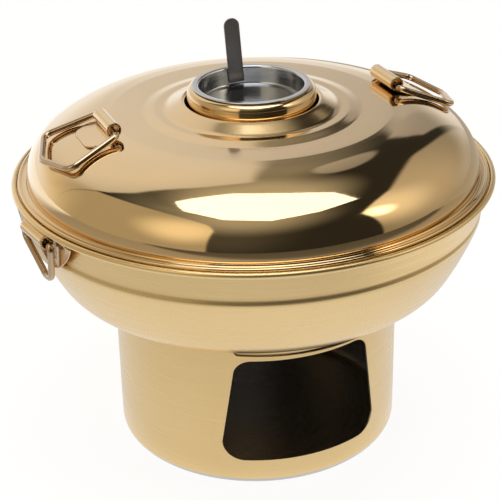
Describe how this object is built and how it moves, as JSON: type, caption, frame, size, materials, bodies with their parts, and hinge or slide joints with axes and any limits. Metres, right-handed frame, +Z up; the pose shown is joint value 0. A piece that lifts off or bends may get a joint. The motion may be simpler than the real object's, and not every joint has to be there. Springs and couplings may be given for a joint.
{
  "type": "chimney hot pot",
  "caption": "Charcoal fondue pot: round base with a fire window, bowl round a chimney, lift-off domed lid, damper cup with a strap, and hanging wire bails.",
  "frame": {"origin": "on the floor at the pot's axis, the centre of the base's underside", "axes": "+Z up along the chimney, -Y the front from which the fire window lies to the right, +X to the right"},
  "size_m": [0.3, 0.3, 0.2654],
  "materials": {
    "gold_satin": "satin gold-tone",
    "gold_mirror": "mirror-polished gold-tone",
    "gold_wire": "polished gold-tone",
    "plain_steel": "brushed"
  },
  "bodies": {
    "base": {"base_shell": "gold_satin"},
    "pot": {"pot_bowl": "gold_satin", "seat_ring": "gold_satin", "chimney": "gold_mirror", "charcoal_grate": "plain_steel", "grate_lugs": "plain_steel", "pot_bracket_left": "gold_satin", "pot_bracket_right": "gold_satin"},
    "lid": {"lid_dome": "gold_mirror", "lid_bracket_left": "gold_mirror", "lid_bracket_right": "gold_mirror"},
    "cup": {"damper_cup": "plain_steel", "cup_strap": "plain_steel"},
    "pot_bail_left": {"pot_bail_left": "gold_wire"},
    "pot_bail_right": {"pot_bail_right": "gold_wire"},
    "lid_bail_left": {"lid_bail_left": "gold_wire"},
    "lid_bail_right": {"lid_bail_right": "gold_wire"}
  },
  "joints": [
    {"name": "pot_lift", "type": "slide", "parent": "base", "child": "pot", "axis": [0, 0, 1], "range_m": [0, 0.12]},
    {"name": "lid_lift", "type": "slide", "parent": "pot", "child": "lid", "axis": [0, 0, 1], "range_m": [0, 0.12]},
    {"name": "cup_lift", "type": "slide", "parent": "pot", "child": "cup", "axis": [0, 0, 1], "range_m": [0, 0.05]},
    {"name": "pot_bail_left_swing", "type": "hinge", "parent": "pot", "child": "pot_bail_left", "pos_m": [-0.12607, -0.07666, 0.1696], "axis": [-0.5195, 0.8545, 0], "range_deg": [-4, 140]},
    {"name": "pot_bail_right_swing", "type": "hinge", "parent": "pot", "child": "pot_bail_right", "pos_m": [0.12607, 0.07666, 0.1696], "axis": [0.5195, -0.8545, 0], "range_deg": [-4, 140]},
    {"name": "lid_bail_left_swing", "type": "hinge", "parent": "lid", "child": "lid_bail_left", "pos_m": [-0.08576, -0.03465, 0.22154], "axis": [-0.3746, 0.9272, 0], "range_deg": [0, 196]},
    {"name": "lid_bail_right_swing", "type": "hinge", "parent": "lid", "child": "lid_bail_right", "pos_m": [0.08576, 0.03465, 0.22154], "axis": [0.3746, -0.9272, 0], "range_deg": [0, 196]}
  ]
}
